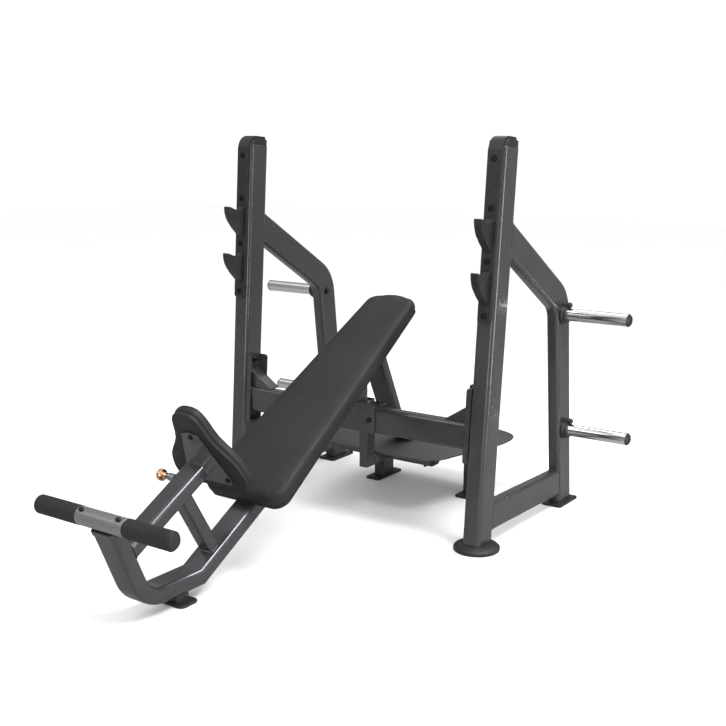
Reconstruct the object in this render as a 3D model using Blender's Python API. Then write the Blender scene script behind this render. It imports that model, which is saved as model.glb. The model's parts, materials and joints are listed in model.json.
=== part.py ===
"""Olympic incline press bench with an adjustable seat. Metres, +Z up, +Y to the rear, +X to the side.

The floor is z = 0 and the plane of symmetry is x = 0. The lifter sits facing -Y.
"""

import math

import bmesh
import bpy
from mathutils import Matrix, Vector

# Driving dimensions, in metres and degrees.
GAP = 0.0003
WALL = 0.003

# Uprights: tubes of rounded section, leaning back.
UPRIGHT_X = 0.587
UPRIGHT_Y = 0.048
UPRIGHT_LEAN = 4.64
UPRIGHT_W = 0.078
UPRIGHT_D = 0.106
UPRIGHT_R = 0.018
UPRIGHT_BASE_Z = 0.028
UPRIGHT_TOP_Z = 1.490
UPRIGHT_FOOT_R = 0.0885

# Bar guards on the uprights, with two catches each.
GUARD_W = 0.055
GUARD_T = 0.012
GUARD_LOW_Z = 0.865
CATCH_W = 0.031
CATCH_TIP = (1.0500, 1.2395)
CATCH_REACH = 0.1035
GUARD_BOLT_Z = (0.890, 1.086, 1.273, 1.446)
GUARD_TOP = 1.5335
GUARD_BEND = 0.052
GUARD_INNER_BEND = 0.0255
GUARD_TAIL = 0.046
GUARD_END_R = 0.015
CAP_SLACK = 0.001
CAP_REAR_R = 0.012
CAP_EDGE = 0.005

# Rear legs and the bottom rails of the side frames.
LEG_X = 0.5985
LEG_W = 0.054
LEG_D = 0.116
LEG_R = 0.016
LEG_BEND = (0.6515, 0.8817)
LEG_SLOPE = -0.610
LEG_LEAN = -0.114
LEG_BEND_R = 0.125
LEG_BASE_Z = 0.010
RAIL_H = 0.110
RAIL_Z = (0.1210, 0.1030)

# Plate storage horns on the rear legs.
HORN_R = 0.02475
HORN_TIP_X = 0.912
HORN_AT = {"upper": (0.645, 0.830), "lower": (0.704, 0.336)}
COLLAR_R = 0.035
COLLAR_L = 0.026
PEG_R = 0.0115
PEG_L = 0.037
PEG_RISE = 0.0382

# Cross member between the uprights.
CROSS_Y = (0.046, 0.102)
CROSS_Z = (0.381, 0.486)
CROSS_R = 0.014
FLANGE_T = 0.005
FLANGE_Z = (0.335, 0.620)
FLANGE_REACH = 0.022
FRONT_PLATE_Y = 0.0428
REAR_PLATE_Y = 0.1142
REAR_REACH = 0.050
GUSSET_REACH = 0.118
GUSSET_H = 0.077
GUSSET_Y = (0.060, 0.1165)

# Bench spine: front post, low section and incline, all one bent and mitred tube.
SPINE_W = 0.098
SPINE_D = 0.060
SPINE_R = 0.016
SPINE_ANGLE = 29.5
SPINE_TOP_AT_0 = 0.601
SPINE_END = 0.350
LOW_Z = 0.071
POST_LEAN = 22.3
POST_BEND_R = 0.118
FOOTREST = (-1.257, 0.374)
FRONT_FOOT = (0.122, 0.086, 0.010)
FRONT_FOOT_Y = -0.958

# Foot rest.
SLEEVE_HALF = 0.105
SLEEVE_R = 0.031
GRIP_END = 0.300
GRIP_R = 0.032
CORE_R = 0.018

# Seat: a post sliding in a tube parallel to the incline.
SEAT_ANGLE = 28.5
SEAT_V = 0.785
SEAT_TUBE_W = 0.084
SEAT_TUBE_D = 0.056
SEAT_TUBE_R = 0.015
SEAT_TUBE_END = -0.535
SEAT_PLATE_S = -0.4975
SEAT_POST_LOW = -0.885
SEAT_SLIP = 0.0007
SEAT_HOLE_PITCH = 0.030
STRUT_W = 0.060
STRUT_D = 0.050
PIN_S = -0.595
PIN_RISE = 0.011

# Back pad: rises a little more steeply than the spine, on a long wedge.
PAD_ANGLE = 30.8
PAD_LOW = -0.706
PAD_LENGTH = 1.168
PAD_HALF = (0.184, 0.118)
PAD_CORNER = (0.055, 0.050)
PAD_BOW = 0.0125
PAD_BOARD = 0.015
PAD_DEPTH = (0.064, 0.054)
WEDGE_HALF = 0.040

# Spotter platform behind the cross member.
DECK_Z = 0.255
DECK_T = 0.008
FRONT_BAR_X = 0.228
FRONT_BAR_Y = (0.290, 0.350)
HANGER_W = 0.041
HANGER_Y = (0.128, 0.190)
STRUT_SLOPE = 0.48
STRUT_KNEE = (0.379, 0.300)
STRUT_FOOT_Y = 0.520
DECK_FRONT = 0.205
DECK_REAR = 0.830
BASE_TUBE_Z = (0.203, 0.2467)
CROSS_BAR_Z = (0.180, 0.2467)
DECK_FOOT_X = 0.236
DECK_FOOT_Y = (0.537, 0.732)

LEAN = math.radians(UPRIGHT_LEAN)
INCLINE = math.radians(SPINE_ANGLE)
PAD_TILT = math.radians(PAD_ANGLE)
SEAT_TILT = math.radians(SEAT_ANGLE)
POST_TILT = math.radians(POST_LEAN)
X = Vector((1, 0, 0))
Y = Vector((0, 1, 0))
Z = Vector((0, 0, 1))


def clear_scene():
    for obj in list(bpy.data.objects):
        bpy.data.objects.remove(obj, do_unlink=True)
    for material in list(bpy.data.materials):
        bpy.data.materials.remove(material)


def make_material(name, colour, roughness, metallic=0.0):
    material = bpy.data.materials.new(name)
    material.use_nodes = True
    shader = material.node_tree.nodes["Principled BSDF"]
    shader.inputs["Base Color"].default_value = (*colour, 1.0)
    shader.inputs["Roughness"].default_value = roughness
    shader.inputs["Metallic"].default_value = metallic
    material.diffuse_color = (*colour, 1.0)
    return material


def finish(name, mesh, material, sharp=32.0):
    """Turn a bmesh into a named object, smooth across edges softer than the given angle."""
    bmesh.ops.remove_doubles(mesh, verts=mesh.verts, dist=1e-6)
    bmesh.ops.recalc_face_normals(mesh, faces=mesh.faces)
    for face in mesh.faces:
        face.smooth = True
    for edge in mesh.edges:
        if len(edge.link_faces) == 2:
            edge.smooth = edge.calc_face_angle() < math.radians(sharp)
    data = bpy.data.meshes.new(name)
    mesh.to_mesh(data)
    mesh.free()
    obj = bpy.data.objects.new(name, data)
    bpy.context.scene.collection.objects.link(obj)
    data.materials.append(material)
    return obj


def combine(target, tool, operation):
    """Add an exact Boolean and hide the shape it uses."""
    modifier = target.modifiers.new(f"{operation.lower()} {tool.name}", "BOOLEAN")
    modifier.operation = operation
    modifier.solver = "EXACT"
    modifier.object = tool
    tool.hide_render = True
    tool.display_type = "WIRE"
    return target


def rounded_rectangle(width, height, radius, steps=5):
    """Corner-rounded rectangle round the origin, as (a, b) pairs in counter-clockwise order."""
    points = []
    corners = ((1, 1, 0), (-1, 1, 90), (-1, -1, 180), (1, -1, 270))
    for side_a, side_b, start in corners:
        centre_a = side_a * (width / 2 - radius)
        centre_b = side_b * (height / 2 - radius)
        for step in range(steps + 1):
            angle = math.radians(start + 90 * step / steps)
            points.append((centre_a + radius * math.cos(angle), centre_b + radius * math.sin(angle)))
    return points


def arc(centre, radius, start, end, steps):
    """Points on a circle, from one angle to another in degrees."""
    angles = [math.radians(start + (end - start) * step / steps) for step in range(steps + 1)]
    return [(centre[0] + radius * math.cos(a), centre[1] + radius * math.sin(a)) for a in angles]


def round_corner(before, corner, after, radius, steps=8):
    """Points of the arc that replaces one corner of a path."""
    first = (before - corner).normalized()
    second = (after - corner).normalized()
    half = first.angle(second) / 2
    middle = corner + (first + second).normalized() * radius / math.sin(half)
    start = corner + first * radius / math.tan(half)
    end = corner + second * radius / math.tan(half)
    spoke_a = (start - middle).normalized()
    spoke_b = (end - middle).normalized()
    total = spoke_a.angle(spoke_b)
    points = []
    for step in range(steps + 1):
        share = step / steps
        weight_a = math.sin((1 - share) * total) / math.sin(total)
        weight_b = math.sin(share * total) / math.sin(total)
        blend = spoke_a * weight_a + spoke_b * weight_b
        points.append(middle + blend * radius)
    return points


def tube(name, path, size, side, material, wall=WALL, cuts=(None, None)):
    """Sweep a rounded section along a path in one plane; a wall of 0 makes it solid.

    size is (across the plane, in the plane, corner radius); cuts are the normals of the end faces.
    """
    width, depth, radius = size
    outlines = [rounded_rectangle(width, depth, radius)]
    if wall:
        outlines.append(rounded_rectangle(width - 2 * wall, depth - 2 * wall, radius - wall))
    mesh = bmesh.new()
    last = len(path) - 1
    loops = []
    for index, point in enumerate(path):
        back = (point - path[index - 1]).normalized() if index else (path[1] - point).normalized()
        ahead = (path[index + 1] - point).normalized() if index < last else back
        plane = (back + ahead).normalized()
        if index == 0 and cuts[0] is not None:
            plane = cuts[0]
        if index == last and cuts[1] is not None:
            plane = cuts[1]
        across = back.cross(side).normalized()
        ring = []
        for outline in outlines:
            loop = []
            for a, b in outline:
                offset = side * a + across * b
                slide = -offset.dot(plane) / back.dot(plane)
                loop.append(mesh.verts.new(point + offset + back * slide))
            ring.append(loop)
        loops.append(ring)
    count = len(outlines[0])
    for first, second in zip(loops, loops[1:]):
        for low, high in zip(first, second):
            for k in range(count):
                mesh.faces.new((low[k], low[(k + 1) % count], high[(k + 1) % count], high[k]))
    for ring in (loops[0], loops[-1]):
        if wall:
            for k in range(count):
                j = (k + 1) % count
                mesh.faces.new((ring[0][k], ring[0][j], ring[1][j], ring[1][k]))
        else:
            mesh.faces.new(ring[0])
    return finish(name, mesh, material)


def turned(name, profile, origin, axis, material, steps=32, sharp=32.0):
    """Revolve a closed (distance along, radius) profile round an axis."""
    side = axis.orthogonal().normalized()
    other = axis.cross(side)
    mesh = bmesh.new()
    rings = []
    for along, radius in profile:
        centre = origin + axis * along
        if radius == 0:
            rings.append([mesh.verts.new(centre)])
            continue
        ring = []
        for step in range(steps):
            angle = 2 * math.pi * step / steps
            spoke = side * math.cos(angle) + other * math.sin(angle)
            ring.append(mesh.verts.new(centre + spoke * radius))
        rings.append(ring)
    for index, ring in enumerate(rings):
        following = rings[(index + 1) % len(rings)]
        if len(ring) == 1 and len(following) == 1:
            continue
        for k in range(steps):
            j = (k + 1) % steps
            if len(ring) == 1:
                mesh.faces.new((ring[0], following[j], following[k]))
            elif len(following) == 1:
                mesh.faces.new((ring[k], ring[j], following[0]))
            else:
                mesh.faces.new((ring[k], ring[j], following[j], following[k]))
    return finish(name, mesh, material, sharp)


def prism(name, outline, origin, first, second, depth, material, edge=0.0, sharp=32.0):
    """Extrude an outline in the plane of two axes to both sides of it, with its rims rounded by edge."""
    normal = first.cross(second).normalized()
    mesh = bmesh.new()
    low = [mesh.verts.new(origin + first * a + second * b - normal * depth / 2) for a, b in outline]
    high = [mesh.verts.new(origin + first * a + second * b + normal * depth / 2) for a, b in outline]
    caps = [mesh.faces.new(low[::-1]), mesh.faces.new(high)]
    count = len(outline)
    for k in range(count):
        j = (k + 1) % count
        mesh.faces.new((low[k], low[j], high[j], high[k]))
    if edge:
        rims = [e for cap in caps for e in cap.edges]
        bmesh.ops.bevel(mesh, geom=rims, offset=edge, segments=2, profile=0.5, affect="EDGES")
    return finish(name, mesh, material, sharp)


def box(name, low, high, material, edge=0.0):
    """Block between two corners, with its upright rims rounded by edge."""
    outline = [(low[0], low[1]), (high[0], low[1]), (high[0], high[1]), (low[0], high[1])]
    origin = Z * (low[2] + high[2]) / 2
    return prism(name, outline, origin, X, Y, high[2] - low[2], material, edge)


def offset_outline(outline, distance):
    """Move a counter-clockwise outline inwards by a distance."""
    count = len(outline)
    moved = []
    for k, (a, b) in enumerate(outline):
        before = outline[k - 1]
        after = outline[(k + 1) % count]
        along = Vector((after[0] - before[0], after[1] - before[1])).normalized()
        moved.append((a - along.y * distance, b + along.x * distance))
    return moved


def cushion(name, outline, height, origin, first, second, out, rim, crown, material):
    """Padded slab on an outline: straight sides, rounded rim and a gently crowned face.

    height is a function of the second coordinate.
    """
    middle_b = sum(b for _, b in outline) / len(outline)
    levels = [(0.002, 0.0), (0.0, 0.003)]
    for step in range(5):
        angle = math.radians(90 * step / 4)
        levels.append((rim * (1 - math.cos(angle)), -rim * (1 - math.sin(angle))))
    mesh = bmesh.new()
    rings = []
    for index, (inset, lift) in enumerate(levels):
        ring = []
        for (a, b), (_, true_b) in zip(offset_outline(outline, inset), outline):
            top = height(true_b)
            rise = lift if index < 2 else top + lift
            ring.append(mesh.verts.new(origin + first * a + second * b + out * rise))
        rings.append(ring)
    inner = offset_outline(outline, rim)
    for share, lift in ((0.80, 0.55), (0.50, 0.90), (0.20, 1.0)):
        ring = []
        for a, b in inner:
            b_in = middle_b + (b - middle_b) * (0.6 + 0.4 * share)
            spot = origin + first * a * share + second * b_in
            ring.append(mesh.verts.new(spot + out * (height(b_in) + crown * lift)))
        rings.append(ring)
    count = len(outline)
    for low, high in zip(rings, rings[1:]):
        for k in range(count):
            j = (k + 1) % count
            mesh.faces.new((low[k], low[j], high[j], high[k]))
    mesh.faces.new(rings[0][::-1])
    mesh.faces.new(rings[-1])
    return finish(name, mesh, material, 50.0)


def trim_to(target, name, size, side, line):
    """Trim a tube's end to the outside of the straight tube it meets, and leave a gap.

    size and side are those of the tube that is met; line is a point on its axis and the axis itself.
    """
    width, depth, radius = size
    point, axis = line
    section = rounded_rectangle(width + 2 * GAP, depth + 2 * GAP, radius + GAP)
    cutter = prism(name, section, point, side, axis.cross(side), 2.0, PAINT)
    combine(target, cutter, "DIFFERENCE")


def mirrored(half):
    """Close a half outline, given from bottom to top on its +a side, about a = 0."""
    return half + [(-a, b) for a, b in reversed(half) if a > 1e-6]


def spline(points, steps=3):
    """Smooth curve through points, keeping them all."""
    curve = []
    last = len(points) - 1
    for index in range(last):
        before = points[max(index - 1, 0)]
        start = points[index]
        end = points[index + 1]
        after = points[min(index + 2, last)]
        for step in range(steps):
            t = step / steps
            mixed = []
            for p0, p1, p2, p3 in zip(before, start, end, after):
                slope = (p2 - p0) * t + (2 * p0 - 5 * p1 + 4 * p2 - p3) * t ** 2
                mixed.append(p1 + 0.5 * (slope + (3 * p1 - p0 - 3 * p2 + p3) * t ** 3))
            curve.append(tuple(mixed))
    return curve + [points[-1]]


def tapered_half(halves, length, corners, bow):
    """Half outline of a tapered pad, with rounded corners and bowed ends."""
    low_r, high_r = corners
    low = arc((halves[0] - low_r, low_r), low_r, -90, 0, 6)
    high = arc((halves[1] - high_r, length - bow - high_r), high_r, 0, 90, 6)
    side = []
    for step in range(1, 8):
        share = step / 8
        a = halves[0] + (halves[1] - halves[0]) * share
        side.append((a, low_r + (length - bow - high_r - low_r) * share))
    tip_a = high[-1][0]
    crest = []
    for step in range(1, 5):
        a = tip_a * (1 - step / 4)
        crest.append((a, length - bow * (a / tip_a) ** 2))
    return [(0.0, 0.0), (low[0][0] / 2, 0.0)] + low + side + high + crest


def upright_point(x, z, forward=0.0):
    """Point on the centre line of an upright at a height, moved forward square to it."""
    centre = Vector((x, UPRIGHT_Y + z * math.tan(LEAN), z))
    return centre + Vector((0, -math.cos(LEAN), math.sin(LEAN))) * forward


def incline_point(x, along, out):
    """Point in the frame of the incline: along it from y = 0 and out of its top face."""
    return Vector((
        x,
        along * math.cos(INCLINE) - out * math.sin(INCLINE),
        SPINE_TOP_AT_0 + along * math.sin(INCLINE) + out * math.cos(INCLINE),
    ))


def seat_point(x, along, across):
    """Point in the frame of the seat tube: along its axis direction and across it."""
    return Vector((
        x,
        along * math.cos(SEAT_TILT) - across * math.sin(SEAT_TILT),
        along * math.sin(SEAT_TILT) + across * math.cos(SEAT_TILT),
    ))


clear_scene()
PAINT = make_material("frame_paint", (0.060, 0.061, 0.064), 0.38, 0.55)
VINYL = make_material("pad_vinyl", (0.035, 0.035, 0.036), 0.62)
BOARD = make_material("pad_board", (0.020, 0.020, 0.020), 0.70)
RUBBER = make_material("black_rubber", (0.012, 0.012, 0.012), 0.75)
PLASTIC = make_material("black_plastic", (0.015, 0.015, 0.016), 0.40)
CHROME = make_material("chrome", (0.80, 0.80, 0.80), 0.12, 1.0)
COPPER = make_material("copper_knob", (0.60, 0.27, 0.12), 0.28, 1.0)
ZINC = make_material("zinc_bolt", (0.30, 0.30, 0.31), 0.35, 1.0)

LEAN_UP = Vector((0, math.sin(LEAN), math.cos(LEAN)))
LEAN_FRONT = Vector((0, -math.cos(LEAN), math.sin(LEAN)))
SPINE_DIR = Vector((0, math.cos(INCLINE), math.sin(INCLINE)))
SPINE_OUT = Vector((0, -math.sin(INCLINE), math.cos(INCLINE)))
SEAT_DIR = Vector((0, math.cos(SEAT_TILT), math.sin(SEAT_TILT)))
SEAT_OUT = Vector((0, -math.sin(SEAT_TILT), math.cos(SEAT_TILT)))
POST_UP = Vector((0, -math.sin(POST_TILT), math.cos(POST_TILT)))
POST_BACK = Vector((0, math.cos(POST_TILT), math.sin(POST_TILT)))


# Side frames.
def side_frame(side, mark):
    x = side * UPRIGHT_X
    leg_x = side * LEG_X
    tube(
        f"upright_{mark}",
        [upright_point(x, UPRIGHT_BASE_Z), upright_point(x, UPRIGHT_TOP_Z)],
        (UPRIGHT_W, UPRIGHT_D, UPRIGHT_R), X, PAINT, cuts=(Z, None),
    )
    r = UPRIGHT_FOOT_R
    base = Vector((x, UPRIGHT_Y, 0))
    disc = [(0, 0), (0, r - 0.003), (0.003, r), (0.014, r), (0.018, r - 0.004)]
    disc += [(0.0277, r - 0.022), (0.0277, 0)]
    turned(f"upright_foot_{mark}", disc, base, Z, PLASTIC, 40)

    bend_y, bend_z = LEG_BEND
    corner = Vector((leg_x, bend_y, bend_z))
    rear_face = (UPRIGHT_D / 2 - UPRIGHT_R) / math.cos(LEAN)
    top_z = (bend_z + LEG_SLOPE * (UPRIGHT_Y + rear_face - bend_y)) / (1 - LEG_SLOPE * math.tan(LEAN))
    top = Vector((leg_x, UPRIGHT_Y + rear_face + top_z * math.tan(LEAN), top_z))
    foot = Vector((leg_x, bend_y + LEG_LEAN * (LEG_BASE_Z + GAP - bend_z), LEG_BASE_Z + GAP))
    path = [top] + round_corner(top, corner, foot, LEG_BEND_R) + [foot]
    upright_size = (UPRIGHT_W, UPRIGHT_D, UPRIGHT_R)
    upright_line = (upright_point(x, 0.6), LEAN_UP)
    leg = tube(f"rear_leg_{mark}", path, (LEG_W, LEG_D, LEG_R), X, PAINT, cuts=(LEAN_FRONT, Z))
    trim_to(leg, f"leg_trim_{mark}", upright_size, X, upright_line)
    foot_plate = rounded_rectangle(0.092, 0.172, 0.012, 3)
    prism(
        f"rear_leg_foot_{mark}", foot_plate, Vector((leg_x, foot.y, LEG_BASE_Z / 2)),
        X, Y, LEG_BASE_Z, PLASTIC, 0.002,
    )

    leg_front = (LEG_D / 2 - LEG_R) / math.cos(math.atan(LEG_LEAN))
    start = Vector((leg_x, UPRIGHT_Y + rear_face + RAIL_Z[0] * math.tan(LEAN), RAIL_Z[0]))
    end = Vector((leg_x, bend_y + LEG_LEAN * (RAIL_Z[1] - bend_z) - leg_front, RAIL_Z[1]))
    leg_normal = Vector((0, 1, -LEG_LEAN)).normalized()
    rail = tube(f"rail_{mark}", [start, end], (0.050, RAIL_H, 0.012), X, PAINT, cuts=(LEAN_FRONT, leg_normal))
    trim_to(rail, f"rail_front_trim_{mark}", upright_size, X, upright_line)
    leg_up = (foot - corner).normalized() * -1
    trim_to(rail, f"rail_rear_trim_{mark}", (LEG_W, LEG_D, LEG_R), X, (foot, leg_up))

    face = leg_x + side * (LEG_W / 2 + GAP)
    for level, (y, z) in HORN_AT.items():
        origin = Vector((face, y, z))
        collar = [
            (0, HORN_R + GAP), (0, COLLAR_R + 0.004), (0.010, COLLAR_R + 0.004), (0.014, COLLAR_R),
            (COLLAR_L - 0.004, COLLAR_R), (COLLAR_L, COLLAR_R - 0.004), (COLLAR_L, HORN_R + GAP),
        ]
        sleeve = turned(f"collar_{mark}_{level}", collar, origin, X * side, PLASTIC, 28)
        peg = [(0, 0), (0, PEG_R), (PEG_L - 0.004, PEG_R), (PEG_L, PEG_R - 0.004), (PEG_L, 0)]
        above = turned(f"peg_{mark}_{level}", peg, origin + Z * PEG_RISE, X * side, PLASTIC, 20)
        combine(sleeve, above, "UNION")
        length = HORN_TIP_X - abs(face)
        inner = HORN_R - 0.003
        horn = [
            (0, inner), (0, HORN_R), (length - 0.006, HORN_R), (length, HORN_R - 0.006),
            (length, 0), (length - 0.010, 0), (length - 0.010, inner),
        ]
        turned(f"horn_{mark}_{level}", horn, origin, X * side, CHROME, 28)


# Bar guards: a strip with two catches that runs over the capped top of the upright.
def catch_outline(height, front):
    """Side view of one catch: forward of the upright's centre line, and along it."""
    tip = front + CATCH_REACH
    nose = [(tip, height - 0.004), (tip - 0.004, height)]
    saddle = [(tip - 0.014, height - 0.003), (tip - 0.040, height - 0.0125), (tip - 0.058, height - 0.0155)]
    rise = [(tip - 0.078, height - 0.0125), (front + GUARD_T - 0.002, height + 0.003)]
    root = [(front + 0.004, height + 0.003), (front + 0.004, height - 0.127)]
    outer = [(tip - 0.067, height - 0.100), (tip - 0.045, height - 0.083), (tip - 0.025, height - 0.061)]
    outer += [(tip - 0.012, height - 0.045), (tip - 0.004, height - 0.026)]
    return nose + saddle + rise + root + outer


def upright_cap(mark, origin, corner, front_r):
    """Plug on an upright's end, rounded to the bend of the guard in front and more tightly behind.

    corner is the front top corner: forward of the upright's centre line, and along it.
    """
    front, top = corner
    low = UPRIGHT_TOP_Z / math.cos(LEAN) + GAP
    rear = -(UPRIGHT_D / 2 - CAP_SLACK)
    outline = [(rear, low - 0.010), (rear, top - CAP_REAR_R)]
    outline += arc((rear + CAP_REAR_R, top - CAP_REAR_R), CAP_REAR_R, 180, 90, 5)[1:]
    outline += arc((front - front_r, top - front_r), front_r, 90, 0, 6) + [(front, low - 0.010)]
    cap = prism(
        f"cap_{mark}", [(-f, h) for f, h in outline], origin, -LEAN_FRONT, LEAN_UP,
        UPRIGHT_W - 2 * CAP_SLACK, PLASTIC, CAP_EDGE,
    )
    section = rounded_rectangle(UPRIGHT_W - 2.1 * CAP_SLACK, UPRIGHT_D - 1.9 * CAP_SLACK, UPRIGHT_R)
    core = prism(f"cap_core_{mark}", section, origin + LEAN_UP * (low + 0.1), X, -LEAN_FRONT, 0.2, PLASTIC)
    combine(cap, core, "INTERSECT")


def guard(side, mark):
    x = side * UPRIGHT_X
    origin = upright_point(x, 0)
    front = UPRIGHT_D / 2 + GAP
    low = GUARD_LOW_Z / math.cos(LEAN)
    outer_f = front + GUARD_T
    outer = [(-GUARD_TAIL, low), (outer_f, low)]
    outer += arc((outer_f - GUARD_BEND, GUARD_TOP - GUARD_BEND), GUARD_BEND, 0, 90, 6)
    outer += [(-GUARD_TAIL + 0.006, GUARD_TOP), (-GUARD_TAIL, GUARD_TOP - 0.005)]
    strip = prism(
        f"guard_{mark}", [(-f, h) for f, h in outer], origin, -LEAN_FRONT, LEAN_UP, GUARD_W, PLASTIC, 0.003,
    )
    inner_top = GUARD_TOP - GUARD_T
    inner_bend = GUARD_INNER_BEND
    inner = [(-GUARD_TAIL - 0.1, low - 0.1), (front, low - 0.1)]
    inner += arc((front - inner_bend, inner_top - inner_bend), inner_bend, 0, 90, 6)
    inner += [(-GUARD_TAIL - 0.1, inner_top)]
    hollow = prism(
        f"guard_hollow_{mark}", [(-f, h) for f, h in inner], origin,
        -LEAN_FRONT, LEAN_UP, 2 * GUARD_W, PLASTIC,
    )
    combine(strip, hollow, "DIFFERENCE")
    for number, height in enumerate(CATCH_TIP):
        outline = [(-f, h) for f, h in catch_outline(height, front)]
        catch = prism(
            f"catch_{mark}_{number}", outline, origin, -LEAN_FRONT, LEAN_UP, CATCH_W, PLASTIC, 0.002,
        )
        combine(strip, catch, "UNION")
    half = GUARD_W / 2 + 0.001
    end = arc((-half + GUARD_END_R, low - 0.0005 + GUARD_END_R), GUARD_END_R, 180, 270, 5)
    end += arc((half - GUARD_END_R, low - 0.0005 + GUARD_END_R), GUARD_END_R, 270, 360, 5)
    end += [(half, GUARD_TOP + 0.1), (-half, GUARD_TOP + 0.1)]
    combine(strip, prism(f"guard_front_{mark}", end, origin, X, LEAN_UP, 0.5, PLASTIC), "INTERSECT")
    for number, z in enumerate(GUARD_BOLT_Z):
        seat = upright_point(x, z, outer_f + 0.002)
        recess = turned(
            f"recess_{mark}_{number}", [(0, 0), (0, 0.0125), (0.009, 0.0125), (0.009, 0)],
            seat, -LEAN_FRONT, PLASTIC, 20,
        )
        combine(strip, recess, "DIFFERENCE")

    upright_cap(mark, origin, (front - CAP_SLACK, inner_top - CAP_SLACK), inner_bend + CAP_SLACK)


for side_sign, side_name in ((-1, "left"), (1, "right")):
    side_frame(side_sign, side_name)
    guard(side_sign, side_name)

# Cross member with a bolted flange and a gusset at each end.
cross_y = (CROSS_Y[0] + CROSS_Y[1]) / 2
cross_z = (CROSS_Z[0] + CROSS_Z[1]) / 2
flange_x = UPRIGHT_X - UPRIGHT_W / 2 - GAP
cross_half = flange_x - FLANGE_T - GAP
tube(
    "cross_member", [Vector((-cross_half, cross_y, cross_z)), Vector((cross_half, cross_y, cross_z))],
    (CROSS_Z[1] - CROSS_Z[0], CROSS_Y[1] - CROSS_Y[0], CROSS_R), Z, PAINT,
)


def flange(side, mark):
    """Channel on the upright's inner face: a web, two leaning plates and a gusset over the cross member."""
    low, high = [z / math.cos(LEAN) for z in FLANGE_Z]
    rest = (CROSS_Z[1] + 0.001) / math.cos(LEAN)
    centre = upright_point(side * (flange_x - FLANGE_T / 2), 0)
    web_outline = [(-0.046, low), (0.046, low), (0.046, high - 0.006), (0.040, high)]
    web_outline += [(-0.040, high), (-0.046, high - 0.006)]
    web = prism(f"flange_{mark}", web_outline, centre, -LEAN_FRONT, LEAN_UP, FLANGE_T, PAINT)
    inner = FLANGE_REACH
    front_edge = [(inner, rest), (inner, high - 0.008), (inner - 0.008, high)]
    slope = GUSSET_H / GUSSET_REACH
    rear_edge = [
        (inner, rest), (GUSSET_REACH, rest), (REAR_REACH, rest + slope * (GUSSET_REACH - REAR_REACH)),
        (REAR_REACH, high - 0.008), (REAR_REACH - 0.008, high),
    ]
    for number, (level, edge) in enumerate(((FRONT_PLATE_Y, front_edge), (REAR_PLATE_Y, rear_edge))):
        outline = [(0.001, low), (inner - 0.006, low), (inner, low + 0.006)] + edge + [(0.001, high)]
        outline = [(side * (flange_x - a), b) for a, b in outline]
        back = level - upright_point(0, CROSS_Z[1]).y
        plate = prism(
            f"flange_plate_{mark}_{number}", outline, Vector((0, UPRIGHT_Y + back, 0)),
            X, LEAN_UP, FLANGE_T, PAINT,
        )
        combine(web, plate, "UNION")
    seat = CROSS_Z[1] + GAP
    ramp = [(0.001, seat), (GUSSET_REACH, seat), (GUSSET_REACH, seat + 0.003), (0.001, seat + GUSSET_H)]
    block = prism(
        f"gusset_{mark}", [(side * (flange_x - a), b) for a, b in ramp],
        Vector((0, (GUSSET_Y[0] + GUSSET_Y[1]) / 2, 0)), X, Z, GUSSET_Y[1] - GUSSET_Y[0], PAINT,
    )
    combine(web, block, "UNION")
    for level, z in (("upper", FLANGE_Z[1] - 0.017), ("lower", FLANGE_Z[0] + 0.012)):
        head = [
            (0, 0), (0, 0.011), (0.010, 0.011), (0.012, 0.009),
            (0.012, 0.006), (0.031, 0.006), (0.032, 0.005), (0.032, 0),
        ]
        seat = upright_point(side * (flange_x - FLANGE_T - GAP), z, 0.012)
        turned(f"flange_bolt_{mark}_{level}", head, seat, X * -side, ZINC, 12, 40.0)


flange(-1, "left")
flange(1, "right")

# Bench spine.
footrest_centre = Vector((0, FOOTREST[0], FOOTREST[1]))
post_top = footrest_centre - POST_UP * (SLEEVE_R + 0.008)
low_corner = footrest_centre - POST_UP * ((FOOTREST[1] - LOW_Z) / math.cos(POST_TILT))
spine_end = incline_point(0, SPINE_END, -SPINE_D / 2)
mitre = spine_end - SPINE_DIR * ((spine_end.z - LOW_Z) / math.sin(INCLINE))
spine_path = [post_top] + round_corner(post_top, low_corner, mitre, POST_BEND_R, 10) + [mitre, spine_end]
spine = tube("bench_spine", spine_path, (SPINE_W, SPINE_D, SPINE_R), X, PAINT)
cap_outline = rounded_rectangle(SPINE_W, SPINE_D, SPINE_R)
prism(
    "spine_end_cap", cap_outline, spine_end + SPINE_DIR * (0.006 + GAP), X, SPINE_OUT, 0.012, PLASTIC, 0.003,
)

foot_outline = rounded_rectangle(FRONT_FOOT[0], FRONT_FOOT[1], 0.020, 4)
prism(
    "front_foot", foot_outline, Vector((0, FRONT_FOOT_Y, FRONT_FOOT[2] / 2)),
    X, Y, FRONT_FOOT[2], PLASTIC, 0.003,
)
stub_top = LOW_Z - SPINE_D / 2 + 0.002
foot_stub = tube(
    "foot_stub", [Vector((0, FRONT_FOOT_Y, FRONT_FOOT[2] + GAP)), Vector((0, FRONT_FOOT_Y, stub_top))],
    (0.060, 0.060, 0.012), X, PAINT,
)
combine(spine, foot_stub, "UNION")

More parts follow.
